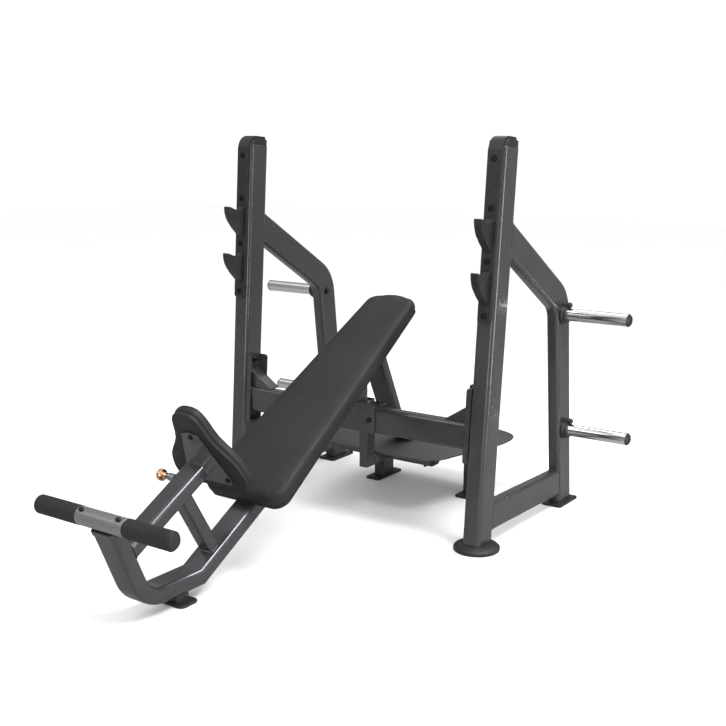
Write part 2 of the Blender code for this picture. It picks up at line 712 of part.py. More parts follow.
# Foot rest: a steel sleeve and core, carried on a saddle, with two rubber grips.
steel = [
    (-GRIP_END + 0.010, 0), (-GRIP_END + 0.010, CORE_R), (-SLEEVE_HALF, CORE_R),
    (-SLEEVE_HALF, SLEEVE_R - 0.002), (-SLEEVE_HALF + 0.002, SLEEVE_R), (SLEEVE_HALF - 0.002, SLEEVE_R),
    (SLEEVE_HALF, SLEEVE_R - 0.002), (SLEEVE_HALF, CORE_R), (GRIP_END - 0.010, CORE_R), (GRIP_END - 0.010, 0),
]
turned("footrest_bar", steel, footrest_centre, X, PAINT, 36)
saddle = prism(
    "saddle", rounded_rectangle(SPINE_W - 0.002, SPINE_D + 0.004, 0.010, 3),
    post_top + POST_UP * 0.006, X, POST_BACK, 0.016, PAINT, 0.0,
)
saddle_bore = turned(
    "saddle_bore", [(-0.1, 0), (-0.1, SLEEVE_R + GAP), (0.1, SLEEVE_R + GAP), (0.1, 0)],
    footrest_centre, X, PAINT, 36,
)
combine(spine, saddle, "UNION")
combine(spine, saddle_bore, "DIFFERENCE")
for side_sign, side_name in ((-1, "left"), (1, "right")):
    inside = SLEEVE_HALF + GAP
    grip = [
        (inside, CORE_R + GAP), (inside, GRIP_R - 0.002), (inside + 0.002, GRIP_R),
        (GRIP_END - 0.006, GRIP_R), (GRIP_END - 0.001, GRIP_R - 0.004), (GRIP_END, GRIP_R - 0.009),
        (GRIP_END, 0), (GRIP_END - 0.0095, 0), (GRIP_END - 0.0095, CORE_R + GAP),
    ]
    turned(f"grip_{side_name}", grip, footrest_centre, X * side_sign, RUBBER, 36)
    head = [(0, 0), (0, 0.0085), (0.006, 0.0085), (0.008, 0.006), (0.008, 0)]
    seat = footrest_centre + X * side_sign * 0.083 + Vector((0, -0.5, 0.866)) * (SLEEVE_R + GAP)
    turned(f"footrest_bolt_{side_name}", head, seat, Vector((0, -0.5, 0.866)), ZINC, 20)

# Seat tube, its strut and the pull pin.
post_face = footrest_centre + POST_BACK * (SPINE_D / 2 + GAP)
seat_axis = seat_point(0, 0, SEAT_V)
tube_low = seat_axis + SEAT_DIR * ((post_face - seat_axis).dot(POST_BACK) / SEAT_DIR.dot(POST_BACK))
tube_high = seat_point(0, SEAT_TUBE_END, SEAT_V)
outer_tube = tube(
    "seat_tube", [tube_low, tube_high], (SEAT_TUBE_W, SEAT_TUBE_D, SEAT_TUBE_R), X, PAINT,
    cuts=(POST_BACK, None),
)
strut_dir = Vector((0, -0.5, 0.866)).normalized()
strut_mid = Vector((0, -0.868, 0.272))
spine_face = incline_point(0, 0, GAP)
seat_face = seat_point(0, 0, SEAT_V - SEAT_TUBE_D / 2 - GAP)
strut_low = strut_mid + strut_dir * ((spine_face - strut_mid).dot(SPINE_OUT) / strut_dir.dot(SPINE_OUT))
strut_high = strut_mid + strut_dir * ((seat_face - strut_mid).dot(SEAT_OUT) / strut_dir.dot(SEAT_OUT))
tube(
    "seat_strut", [strut_low, strut_high], (STRUT_W, STRUT_D, 0.012), X, PAINT, cuts=(SPINE_OUT, SEAT_OUT),
)

pin_centre = seat_point(0, PIN_S, SEAT_V + PIN_RISE)
tube_face = SEAT_TUBE_W / 2
pin_hole = turned(
    "pin_hole", [(0.030, 0), (0.030, 0.0066), (0.060, 0.0066), (0.060, 0)], pin_centre, -X, PAINT, 20,
)
combine(outer_tube, pin_hole, "DIFFERENCE")
housing = [
    (tube_face + GAP, 0.0066), (tube_face + GAP, 0.0135), (0.070, 0.0135), (0.073, 0.0115), (0.073, 0.0066),
]
turned("pin_housing", housing, pin_centre, -X, ZINC, 24)
post_half = SEAT_TUBE_W / 2 - WALL - SEAT_SLIP
tip = post_half + GAP
pull_pin = [
    (tip, 0), (tip, 0.0045), (tip + 0.001, 0.0060), (0.080, 0.0060), (0.080, 0.0110), (0.090, 0.0125),
    (0.098, 0.0200), (0.104, 0.0215), (0.112, 0.0205), (0.118, 0.0150), (0.121, 0.0080), (0.122, 0),
]
turned("pull_pin", pull_pin, pin_centre, -X, COPPER, 28)

# Seat: post, plate, board and cushion, in the frame of the seat tube.
shrink = 2 * (WALL + SEAT_SLIP)
seat_post = tube(
    "seat_post", [seat_point(0, SEAT_POST_LOW, SEAT_V), seat_point(0, SEAT_PLATE_S - GAP, SEAT_V)],
    (SEAT_TUBE_W - shrink, SEAT_TUBE_D - shrink, SEAT_TUBE_R - WALL - SEAT_SLIP), X, CHROME, 0.0025,
)
for number in range(5):
    hole = turned(
        f"seat_hole_{number}", [(0.030, 0), (0.030, 0.0070), (0.045, 0.0070), (0.045, 0)],
        seat_point(0, PIN_S - SEAT_HOLE_PITCH * number, SEAT_V + PIN_RISE), -X, CHROME, 16,
    )
    combine(seat_post, hole, "DIFFERENCE")
plate_half = [(0.0, 0.700), (0.090, 0.700), (0.097, 0.707), (0.097, 0.735), (0.036, 0.915), (0.0, 0.923)]
prism(
    "seat_plate", mirrored(plate_half), seat_point(0, SEAT_PLATE_S + 0.003, 0), X, SEAT_OUT, 0.006, PAINT,
)
seat_half = spline([
    (0.0, 0.668), (0.120, 0.672), (0.166, 0.712), (0.152, 0.796),
    (0.089, 0.883), (0.064, 0.964), (0.038, 0.998), (0.0, 1.006),
])
seat_outline = mirrored(seat_half)
prism(
    "seat_board", offset_outline(seat_outline, 0.005), seat_point(0, SEAT_PLATE_S + 0.006 + GAP + 0.006, 0),
    X, SEAT_OUT, 0.012, BOARD,
)
cushion(
    "seat_pad", seat_outline, lambda b: 0.034, seat_point(0, SEAT_PLATE_S + 0.018 + 2 * GAP, 0),
    X, SEAT_OUT, SEAT_DIR, 0.014, 0.004, VINYL,
)

# Back pad on its board, held off the spine by a wedge.
PAD_DIR = Vector((0, math.cos(PAD_TILT), math.sin(PAD_TILT)))
PAD_OUT = Vector((0, -math.sin(PAD_TILT), math.cos(PAD_TILT)))
pad_outline = mirrored(tapered_half(PAD_HALF, PAD_LENGTH, PAD_CORNER, PAD_BOW))
pad_base = incline_point(0, PAD_LOW, GAP)


def pad_height(b):
    """Thickness of the cushion alone, thinning towards the head."""
    share = b / PAD_LENGTH
    return PAD_DEPTH[0] + (PAD_DEPTH[1] - PAD_DEPTH[0]) * share - PAD_BOARD


prism(
    "back_pad_board", offset_outline(pad_outline, 0.006), pad_base + PAD_OUT * (PAD_BOARD / 2),
    X, PAD_DIR, PAD_BOARD, BOARD,
)
cushion(
    "back_pad", pad_outline, pad_height, pad_base + PAD_OUT * (PAD_BOARD + GAP), X, PAD_DIR, PAD_OUT,
    0.018, 0.006, VINYL,
)
wedge_rise = math.tan(PAD_TILT - INCLINE)
wedge = [(0.16, GAP), (SPINE_END - PAD_LOW, GAP)]
wedge += [(a, a * wedge_rise - GAP) for a in (SPINE_END - PAD_LOW, 0.16)]
prism("pad_wedge", wedge, incline_point(0, PAD_LOW, 0), SPINE_DIR, SPINE_OUT, 2 * WEDGE_HALF, PAINT)

# Centre bracket: clamps the spine to the cross member.
clamp_y = CROSS_Y[0] - GAP
clamp = box("centre_bracket", (-0.117, clamp_y - 0.006, 0.384), (0.117, clamp_y, 0.502), PAINT)
rear = HANGER_Y[0] - GAP
lid_z = CROSS_Z[1] + GAP
lid = box("bracket_lid", (-0.117, CROSS_Y[0] - 0.004, lid_z), (0.117, rear, lid_z + 0.0057), PAINT)
combine(clamp, lid, "UNION")
block = box("bracket_block", (-0.060, CROSS_Y[1] + GAP, 0.395), (0.060, rear, CROSS_Z[1] + 0.003), PAINT)
combine(clamp, block, "UNION")
spine_under = incline_point(0, 0, -SPINE_D - GAP)
rise_front = spine_under.z + math.tan(INCLINE) * (CROSS_Y[0] - spine_under.y)
rise_rear = spine_under.z + math.tan(INCLINE) * (CROSS_Y[1] - 0.006 - spine_under.y)
riser = [
    (CROSS_Y[0], CROSS_Z[1] + 0.002), (CROSS_Y[1] - 0.006, CROSS_Z[1] + 0.002),
    (CROSS_Y[1] - 0.006, rise_rear), (CROSS_Y[0], rise_front),
]
combine(clamp, prism("bracket_riser", riser, Vector((0, 0, 0)), Y, Z, 0.092, PAINT), "UNION")
for side_sign, side_name in ((-1, "left"), (1, "right")):
    head = [(0, 0), (0, 0.010), (0.006, 0.010), (0.008, 0.008), (0.008, 0)]
    seat = Vector((side_sign * 0.092, CROSS_Y[0] - 0.006 - 2 * GAP, 0.435))
    turned(f"bracket_bolt_{side_name}", head, seat, -Y, ZINC, 20)

# Pad strut from the spine down to the deck, bent above it.
brace_dir = Vector((0, -STRUT_SLOPE, 1.0)).normalized()
brace_knee = Vector((0, *STRUT_KNEE))
spine_face = incline_point(0, 0, SPINE_R - SPINE_D)
brace_high = brace_knee + brace_dir * ((spine_face - brace_knee).dot(SPINE_OUT) / brace_dir.dot(SPINE_OUT))
brace_low = Vector((0, STRUT_FOOT_Y, DECK_Z + GAP))
brace_path = [brace_low] + round_corner(brace_low, brace_knee, brace_high, 0.050, 5) + [brace_high]
pad_strut = tube("pad_strut", brace_path, (SPINE_W, 0.044, 0.012), X, PAINT, cuts=(Z, SPINE_OUT))
spine_line = (incline_point(0, 0, -SPINE_D / 2), SPINE_DIR)
trim_to(pad_strut, "pad_strut_trim", (SPINE_W, SPINE_D, SPINE_R), X, spine_line)

# Spotter platform: hanger, base tube, cross bar, legs, feet and deck.
hanger_mid = sum(HANGER_Y) / 2
tube(
    "hanger_post", [Vector((0, hanger_mid, BASE_TUBE_Z[0])), Vector((0, hanger_mid, CROSS_Z[1]))],
    (HANGER_W, HANGER_Y[1] - HANGER_Y[0], 0.008), X, PAINT,
)
base_z = (BASE_TUBE_Z[0] + BASE_TUBE_Z[1]) / 2
bar_y = 0.635
base_tube = tube(
    "base_tube", [Vector((0, HANGER_Y[1] + GAP, base_z)), Vector((0, bar_y - 0.030 - GAP, base_z))],
    (HANGER_W, BASE_TUBE_Z[1] - BASE_TUBE_Z[0], 0.008), X, PAINT,
)
front_y = sum(FRONT_BAR_Y) / 2
for side_sign, side_name in ((-1, "left"), (1, "right")):
    inside = Vector((side_sign * (HANGER_W / 2 - 0.001), front_y, base_z))
    outside = Vector((side_sign * FRONT_BAR_X, front_y, base_z))
    arm_size = (FRONT_BAR_Y[1] - FRONT_BAR_Y[0], BASE_TUBE_Z[1] - BASE_TUBE_Z[0] - 0.0004, 0.008)
    arm = tube(f"front_arm_{side_name}", [inside, outside], arm_size, Y, PAINT)
    combine(base_tube, arm, "UNION")
bar_z = sum(CROSS_BAR_Z) / 2
tube(
    "deck_cross_bar", [Vector((-0.285, bar_y, bar_z)), Vector((0.285, bar_y, bar_z))],
    (0.060, CROSS_BAR_Z[1] - CROSS_BAR_Z[0], 0.010), Y, PAINT,
)
deck_half = spline([
    (0.0, 0.0), (0.200, 0.006), (0.262, 0.026), (0.296, 0.074), (0.312, 0.140), (0.345, 0.270),
    (0.386, 0.440), (0.352, 0.570), (0.200, 0.620), (0.0, DECK_REAR - DECK_FRONT),
])
deck_outline = mirrored(deck_half)
prism("deck", deck_outline, Vector((0, DECK_FRONT, DECK_Z - DECK_T / 2)), X, Y, DECK_T, PAINT, 0.002)
for side_sign, side_name in ((-1, "left"), (1, "right")):
    x = side_sign * DECK_FOOT_X
    leg_y = sum(DECK_FOOT_Y) / 2
    tube(
        f"deck_leg_{side_name}",
        [Vector((x, leg_y, 0.010 + GAP)), Vector((x, leg_y, CROSS_BAR_Z[0] - GAP))],
        (0.050, 0.110, 0.020), X, PAINT,
    )
    plate = rounded_rectangle(0.075, DECK_FOOT_Y[1] - DECK_FOOT_Y[0], 0.012, 3)
    prism(f"deck_foot_{side_name}", plate, Vector((x, leg_y, 0.005)), X, Y, 0.010, PLASTIC, 0.002)

# The origin goes under the middle of the whole bench.
shown = [obj for obj in bpy.data.objects if not obj.hide_render]
reach = [corner[1] for obj in shown for corner in obj.bound_box]
shift = Matrix.Translation((0, -(min(reach) + max(reach)) / 2, 0))
for obj in bpy.data.objects:
    obj.data.transform(shift)
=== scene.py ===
"""Looks of the incline press bench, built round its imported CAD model. Metres, +Z up, +Y to the rear.

The floor is z = 0, the plane of symmetry is x = 0 and the lifter sits facing -Y.
"""

import json
import math
import random

import bmesh
import bpy
from mathutils import Matrix, Vector
from mathutils.bvhtree import BVHTree

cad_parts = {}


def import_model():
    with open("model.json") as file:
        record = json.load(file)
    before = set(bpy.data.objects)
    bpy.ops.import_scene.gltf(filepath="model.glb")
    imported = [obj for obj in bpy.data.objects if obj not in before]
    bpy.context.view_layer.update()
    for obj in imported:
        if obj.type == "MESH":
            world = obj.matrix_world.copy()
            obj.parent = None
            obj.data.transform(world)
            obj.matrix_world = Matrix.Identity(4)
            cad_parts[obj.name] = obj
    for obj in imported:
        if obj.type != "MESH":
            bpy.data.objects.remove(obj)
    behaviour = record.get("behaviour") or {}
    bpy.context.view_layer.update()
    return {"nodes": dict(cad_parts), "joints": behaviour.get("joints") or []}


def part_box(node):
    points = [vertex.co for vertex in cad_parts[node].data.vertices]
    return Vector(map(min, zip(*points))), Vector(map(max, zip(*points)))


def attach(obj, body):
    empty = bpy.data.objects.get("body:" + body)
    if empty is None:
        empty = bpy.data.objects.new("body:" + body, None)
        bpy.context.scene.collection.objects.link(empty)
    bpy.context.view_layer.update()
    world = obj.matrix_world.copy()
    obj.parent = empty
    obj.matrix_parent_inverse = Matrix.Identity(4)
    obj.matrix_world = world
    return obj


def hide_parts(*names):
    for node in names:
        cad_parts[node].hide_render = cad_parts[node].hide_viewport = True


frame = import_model()

X = Vector((1, 0, 0))
Y = Vector((0, 1, 0))
Z = Vector((0, 0, 1))
SIDES = (("left", -1), ("right", 1))

# Directions that the CAD is built on.
LEAN = math.radians(4.64)
INCLINE = math.radians(29.5)
PAD_TILT = math.radians(30.8)
POST_TILT = math.radians(22.3)
LEAN_FRONT = Vector((0, -math.cos(LEAN), math.sin(LEAN)))
SPINE_OUT = Vector((0, -math.sin(INCLINE), math.cos(INCLINE)))
PAD_DIR = Vector((0, math.cos(PAD_TILT), math.sin(PAD_TILT)))
PAD_OUT = Vector((0, -math.sin(PAD_TILT), math.cos(PAD_TILT)))
POST_BACK = Vector((0, math.cos(POST_TILT), math.sin(POST_TILT)))
SEAT_DIR = Vector(next(j["axis"] for j in frame["joints"] if j["name"] == "seat_slide")).normalized()
SEAT_OUT = Vector((0, -SEAT_DIR.z, SEAT_DIR.y))

# Directions from a rail to its rear leg, from a rear leg to its upright and up along the pad strut.
LEG_SIDE = Vector((0, 1, 0.114)).normalized()
LEG_TOP = Vector((0, -1, 0.610)).normalized()
STRUT_UP = Vector((0, -0.48, 1.0)).normalized()

# Points of a CAD node that lie closer than this are one point.
FACET_GAP = 0.00002

# A rim's bend, as one minus a cosine, where its wear starts to show and where it shows fully.
RIM_START = 0.08
RIM_FULL = 0.35


# Materials.
class Finish:
    """A material under construction, with short ways to add the nodes it needs."""

    def __init__(self, name, colour, roughness, metallic=0.0, specular=0.5):
        self.material = bpy.data.materials.new(name)
        self.material.use_nodes = True
        self.tree = self.material.node_tree
        self.shader = self.tree.nodes["Principled BSDF"]
        self.shader.inputs["Base Color"].default_value = (*colour, 1)
        self.shader.inputs["Roughness"].default_value = roughness
        self.shader.inputs["Metallic"].default_value = metallic
        self.shader.inputs["Specular IOR Level"].default_value = specular
        self.place = self.add("ShaderNodeTexCoord").outputs["Object"]

    def add(self, kind, inputs=(), **settings):
        node = self.tree.nodes.new(kind)
        for key, value in settings.items():
            setattr(node, key, value)
        for key, value in dict(inputs).items():
            if isinstance(value, bpy.types.NodeSocket):
                self.tree.links.new(value, node.inputs[key])
            else:
                node.inputs[key].default_value = value
        return node

    def stretched(self, scale):
        mapping = self.add("ShaderNodeMapping", {"Vector": self.place, "Scale": scale})
        return mapping.outputs["Vector"]

    def noise(self, scale, detail, place=None):
        inputs = {"Vector": place or self.place, "Scale": scale, "Detail": detail}
        return self.add("ShaderNodeTexNoise", inputs).outputs["Fac"]

    def cells(self, scale, feature="F1"):
        inputs = {"Vector": self.place, "Scale": scale}
        return self.add("ShaderNodeTexVoronoi", inputs, feature=feature).outputs["Distance"]

    def spread(self, value, low, high, start=0.3, end=0.7):
        """Carry a value's range from start to end over to low to high."""
        inputs = {"Value": value, "From Min": start, "From Max": end, "To Min": low, "To Max": high}
        return self.add("ShaderNodeMapRange", inputs).outputs["Result"]

    def blend(self, share, first, second):
        node = self.add("ShaderNodeMix", {"Factor": share}, data_type="RGBA")
        for key, colour in (("A", first), ("B", second)):
            socket = next(s for s in node.inputs if s.name == key and s.type == "RGBA")
            if isinstance(colour, bpy.types.NodeSocket):
                self.tree.links.new(colour, socket)
            else:
                socket.default_value = (*colour, 1)
        return next(s for s in node.outputs if s.type == "RGBA")

    def maths(self, operation, first, second):
        return self.add("ShaderNodeMath", {0: first, 1: second}, operation=operation).outputs["Value"]

    def link(self, socket, key):
        self.tree.links.new(socket, self.shader.inputs[key])

    def bumps(self, *layers):
        """Add layers of (height, distance in metres, strength), the later ones on top."""
        normal = None
        for height, distance, strength in layers:
            inputs = {"Height": height, "Distance": distance, "Strength": strength}
            if normal:
                inputs["Normal"] = normal
            normal = self.add("ShaderNodeBump", inputs).outputs["Normal"]
        self.link(normal, "Normal")

    def edges(self, radius):
        """1 on sharp rims and 0 on flat faces."""
        rounded = self.add("ShaderNodeBevel", {"Radius": radius}, samples=4).outputs["Normal"]
        true = self.add("ShaderNodeNewGeometry").outputs["Normal"]
        match = self.add("ShaderNodeVectorMath", {0: rounded, 1: true}, operation="DOT_PRODUCT")
        bend = self.maths("SUBTRACT", 1.0, match.outputs["Value"])
        return self.spread(bend, 0.0, 1.0, RIM_START, RIM_FULL)

    def coat(self, weight, roughness):
        self.shader.inputs["Coat Weight"].default_value = weight
        self.shader.inputs["Coat Roughness"].default_value = roughness


def shaded(tone, share):
    return tuple(share * c for c in tone)


def painted_steel(name, tone, roughness, gloss):
    """Graphite metallic powder coat: fine flake, faint orange peel and slightly rubbed rims."""
    paint = Finish(name, tone, roughness, 0.60, 0.5)
    cloudy = paint.spread(paint.noise(5.0, 3.0), 0.0, 1.0)
    flake = paint.cells(1400.0)
    base = paint.blend(cloudy, shaded(tone, 0.90), shaded(tone, 1.10))
    speckled = paint.blend(paint.spread(flake, 0.0, 0.5, 0.55, 0.95), base, shaded(tone, 1.12))
    patches = paint.spread(paint.noise(38.0, 4.0), 0.0, 0.55, 0.42, 0.62)
    rubbed = paint.maths("MULTIPLY", paint.edges(0.0025), patches)
    paint.link(paint.blend(rubbed, speckled, shaded(tone, 1.35)), "Base Color")
    satin = paint.spread(paint.noise(9.0, 2.0), roughness - 0.03, roughness + 0.03)
    paint.link(satin, "Roughness")
    paint.bumps((paint.noise(160.0, 1.0), 0.00006, 0.04), (flake, 0.00001, 0.02))
    paint.coat(gloss, 0.09)
    return paint.material


def upholstery(name, dark, light):
    """Charcoal vinyl with a fine leather grain and faintly polished patches."""
    vinyl = Finish(name, dark, 0.55, 0.0, 0.32)
    pebbles = vinyl.cells(560.0, "SMOOTH_F1")
    creases = vinyl.noise(210.0, 5.0)
    broad = vinyl.spread(vinyl.noise(7.0, 4.0), 0.0, 0.6)
    tone = vinyl.maths("ADD", broad, vinyl.spread(creases, 0.0, 0.4))
    vinyl.link(vinyl.blend(tone, dark, light), "Base Color")
    vinyl.link(vinyl.spread(vinyl.noise(11.0, 4.0), 0.50, 0.64), "Roughness")
    waves = vinyl.noise(26.0, 3.0)
    vinyl.bumps((waves, 0.0012, 0.16), (creases, 0.0006, 0.30), (pebbles, 0.0005, 0.45))
    return vinyl.material


def moulded(name, dark, light, roughness, grain, depth, specular):
    """Moulded plastic or rubber: spark-eroded grain, scuffed lighter on its rims."""
    plastic = Finish(name, dark, roughness, 0.0, specular)
    patch = plastic.spread(plastic.noise(14.0, 4.0), 0.0, 1.0)
    base = plastic.blend(patch, dark, light)
    scuffs = plastic.spread(plastic.noise(60.0, 3.0), 0.0, 0.5)
    scuffed = plastic.maths("MULTIPLY", plastic.edges(0.002), scuffs)
    rim = tuple(3.2 * c + 0.01 for c in light)
    plastic.link(plastic.blend(scuffed, base, rim), "Base Color")
    uneven = plastic.spread(plastic.noise(40.0, 3.0), roughness - 0.06, roughness + 0.08)
    plastic.link(uneven, "Roughness")
    pits = plastic.cells(grain * 1.6)
    plastic.bumps((plastic.noise(grain, 3.0), depth, 0.4), (pits, depth * 0.5, 0.3))
    return plastic.material


def polished(name, dull, bright, roughness, brushed):
    """Plated or polished metal with drawn lines along the given directions and small dull spots."""
    metal = Finish(name, bright, roughness, 1.0)
    lines = metal.noise(1.0, 4.0, metal.stretched(brushed))
    spots = metal.noise(160.0, 4.0)
    metal.link(metal.blend(metal.spread(spots, 0.0, 0.5, 0.5, 0.75), bright, dull), "Base Color")
    metal.link(metal.spread(lines, roughness * 0.75, roughness * 1.5), "Roughness")
    metal.bumps((lines, 0.00004, 0.25), (spots, 0.00003, 0.2))
    return metal.material


def pin_metal(collar_x):
    """Copper-coloured knob on a steel pin; the change is where the knob's collar starts."""
    metal = Finish("pull_knob_metal", (0.83, 0.43, 0.22), 0.16, 1.0)
    apart = metal.add("ShaderNodeSeparateXYZ", {"Vector": metal.place}).outputs["X"]
    knob = metal.spread(apart, 1.0, 0.0, collar_x - 0.0004, collar_x + 0.0004)
    tone = metal.spread(metal.noise(90.0, 3.0), 0.0, 1.0)
    copper = metal.blend(tone, (0.80, 0.40, 0.20), (0.90, 0.52, 0.30))
    steel = metal.blend(tone, (0.50, 0.50, 0.51), (0.62, 0.62, 0.62))
    metal.link(metal.blend(knob, steel, copper), "Base Color")
    metal.link(metal.spread(metal.noise(300.0, 2.0), 0.12, 0.24), "Roughness")
    metal.bumps((metal.noise(1.0, 3.0, metal.stretched((900.0, 20.0, 20.0))), 0.00005, 0.3))
    return metal.material


PAINT = painted_steel("graphite_paint", (0.062, 0.062, 0.066), 0.28, 0.40)
SLEEVE_PAINT = painted_steel("sleeve_paint", (0.200, 0.200, 0.204), 0.42, 0.20)
DECK_PAINT = painted_steel("deck_paint", (0.090, 0.090, 0.093), 0.58, 0.0)
VINYL = upholstery("pad_vinyl_grain", (0.012, 0.012, 0.0122), (0.018, 0.018, 0.0183))
THREAD = moulded(
    "seam_thread", (0.014, 0.014, 0.014), (0.022, 0.022, 0.022),
    roughness=0.6, grain=1500.0, depth=0.0002, specular=0.3,
)
BACKING = moulded(
    "pad_backing", (0.012, 0.012, 0.012), (0.018, 0.018, 0.018),
    roughness=0.62, grain=700.0, depth=0.0003, specular=0.3,
)
RUBBER = moulded(
    "grip_rubber", (0.010, 0.010, 0.0095), (0.016, 0.016, 0.015),
    roughness=0.66, grain=900.0, depth=0.0004, specular=0.35,
)
PLASTIC = moulded(
    "black_moulding", (0.009, 0.009, 0.010), (0.015, 0.015, 0.016),
    roughness=0.40, grain=1100.0, depth=0.0002, specular=0.5,
)
FOOT = moulded(
    "foot_moulding", (0.012, 0.012, 0.013), (0.022, 0.022, 0.023),
    roughness=0.50, grain=800.0, depth=0.0003, specular=0.4,
)
CHROME = polished(
    "chrome_plate", (0.55, 0.55, 0.56), (0.78, 0.78, 0.79),
    roughness=0.11, brushed=(14.0, 420.0, 420.0),
)
POST_CHROME = polished(
    "seat_post_plate", (0.50, 0.50, 0.51), (0.74, 0.74, 0.75),
    roughness=0.14, brushed=(420.0, 20.0, 20.0),
)
ZINC = polished(
    "zinc_plate", (0.16, 0.16, 0.17), (0.34, 0.34, 0.35),
    roughness=0.34, brushed=(300.0, 300.0, 60.0),
)
BLACK_BOLT = polished(
    "black_bolt", (0.020, 0.020, 0.021), (0.045, 0.045, 0.047),
    roughness=0.36, brushed=(200.0, 200.0, 200.0),
)
KNOB_LENGTH = 0.042
KNOB = pin_metal(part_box("pull_pin")[0].x + KNOB_LENGTH)

SLOT_FINISH = {
    "frame_paint": PAINT, "pad_vinyl": VINYL, "pad_board": BACKING,
    "black_rubber": RUBBER, "black_plastic": PLASTIC, "foot_plastic": FOOT,
    "chrome": CHROME, "copper_knob": KNOB, "zinc_bolt": ZINC,
}
NODE_FINISH = {"seat_post": POST_CHROME, "footrest_bar": SLEEVE_PAINT, "deck": DECK_PAINT}
NODE_FINISH.update((name, BLACK_BOLT) for name in frame["nodes"] if "_bolt_" in name)


# The CAD nodes: joined facets, smooth curves and small rounded rims.
def smoothing_group(angle):
    group = bpy.data.node_groups.new("joined_and_smooth", "GeometryNodeTree")
    group.interface.new_socket("Geometry", in_out="INPUT", socket_type="NodeSocketGeometry")
    group.interface.new_socket("Geometry", in_out="OUTPUT", socket_type="NodeSocketGeometry")
    nodes = group.nodes
    links = group.links
    start = nodes.new("NodeGroupInput")
    merge = nodes.new("GeometryNodeMergeByDistance")
    merge.inputs["Distance"].default_value = FACET_GAP
    strip = nodes.new("GeometryNodeRemoveAttribute")
    strip.inputs["Name"].default_value = "custom_normal"
    faces = nodes.new("GeometryNodeSetShadeSmooth")
    faces.domain = "FACE"
    faces.inputs["Shade Smooth"].default_value = True
    bend = nodes.new("GeometryNodeInputMeshEdgeAngle")
    soft = nodes.new("FunctionNodeCompare")
    soft.data_type = "FLOAT"
    soft.operation = "LESS_THAN"
    soft.inputs["B"].default_value = angle
    edges = nodes.new("GeometryNodeSetShadeSmooth")
    edges.domain = "EDGE"
    end = nodes.new("NodeGroupOutput")
    links.new(start.outputs[0], merge.inputs["Geometry"])
    links.new(merge.outputs[0], strip.inputs["Geometry"])
    links.new(strip.outputs[0], faces.inputs["Geometry"])
    links.new(faces.outputs[0], edges.inputs["Geometry"])
    links.new(bend.outputs["Unsigned Angle"], soft.inputs["A"])
    links.new(soft.outputs["Result"], edges.inputs["Shade Smooth"])
    links.new(edges.outputs[0], end.inputs[0])
    return group


# Edges that bend less are shaded smooth, and edges that bend more are rounded.
SMOOTH_BELOW = math.radians(33)
ROUND_ABOVE = math.radians(38)
SMOOTH = smoothing_group(SMOOTH_BELOW)


def dress(name, finish, rim):
    """Give a CAD node its finish, smooth shading and rims rounded by the given width."""
    node = frame["nodes"][name]
    node.data.materials.clear()
    node.data.materials.append(finish)
    smooth = node.modifiers.new("smooth", "NODES")
    smooth.node_group = SMOOTH
    bevel = node.modifiers.new("rims", "BEVEL")
    bevel.width = rim
    bevel.segments = 2
    bevel.limit_method = "ANGLE"
    bevel.angle_limit = ROUND_ABOVE
    bevel.harden_normals = False
    weighted = node.modifiers.new("flat_faces", "WEIGHTED_NORMAL")
    weighted.keep_sharp = True
    weighted.weight = 100


# How wide the rims are rounded, by the start of the node's name.
STEEL_RIM = 0.0009
RIMS = {
    "flange": 0.0007, "seat_post": 0.0006, "pull": 0.0004,
    "pin": 0.0005, "bracket": 0.0012, "deck": 0.0012,
}
for node_name, node in sorted(frame["nodes"].items()):
    slot_name = node.data.materials[0].name.split(".")[0]
    finish = NODE_FINISH.get(node_name, SLOT_FINISH[slot_name])
    rim = next((width for start, width in RIMS.items() if node_name.startswith(start)), STEEL_RIM)
    dress(node_name, finish, rim)


# Building blocks for the added pieces.
def place(name, mesh, finish, body, slot):
    """Make a bmesh into a piece that rides on a body."""
    bmesh.ops.recalc_face_normals(mesh, faces=mesh.faces)
    for face in mesh.faces:
        face.smooth = True
    data = bpy.data.meshes.new(name)
    mesh.to_mesh(data)
    mesh.free()
    data.set_sharp_from_angle(angle=math.radians(35))
    piece = bpy.data.objects.new(name, data)
    bpy.context.scene.collection.objects.link(piece)
    data.materials.append(finish)
    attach(piece, body)
    return piece


def end_face(node_name, side):
    """Middle of the face where a CAD node ends on the left (-1) or on the right (1)."""
    low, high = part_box(node_name)
    middle = (low + high) / 2
    return Vector((high.x if side > 0 else low.x, middle.y, middle.z))


def turns(steps):
    """Equal angles round a full turn."""
    return [2 * math.pi * k / steps for k in range(steps)]


def ring_frame(axis):
    """Two directions square to an axis and to each other."""
    side = axis.orthogonal().normalized()
    return side, axis.cross(side)


def spoke(side, other, angle):
    return side * math.cos(angle) + other * math.sin(angle)


def circle(centre, side, other, radius, steps):
    """Evenly spaced points round a centre, in the plane of two directions."""
    return [centre + spoke(side, other, t) * radius for t in turns(steps)]


def lathe(mesh, profile, origin, axis, steps):
    """Add a closed (distance along, radius) profile turned round an axis."""
    side, other = ring_frame(axis)
    rings = []
    for along, radius in profile:
        centre = origin + axis * along
        ring = circle(centre, side, other, radius, steps) if radius > 0 else [centre]
        rings.append([mesh.verts.new(point) for point in ring])
    for low, high in zip(rings, rings[1:] + rings[:1]):
        for k in range(steps):
            j = (k + 1) % steps
            corners = [low[k % len(low)], low[j % len(low)], high[j % len(high)], high[k % len(high)]]
            corners = list(dict.fromkeys(corners))
            if len(corners) > 2:
                mesh.faces.new(corners)


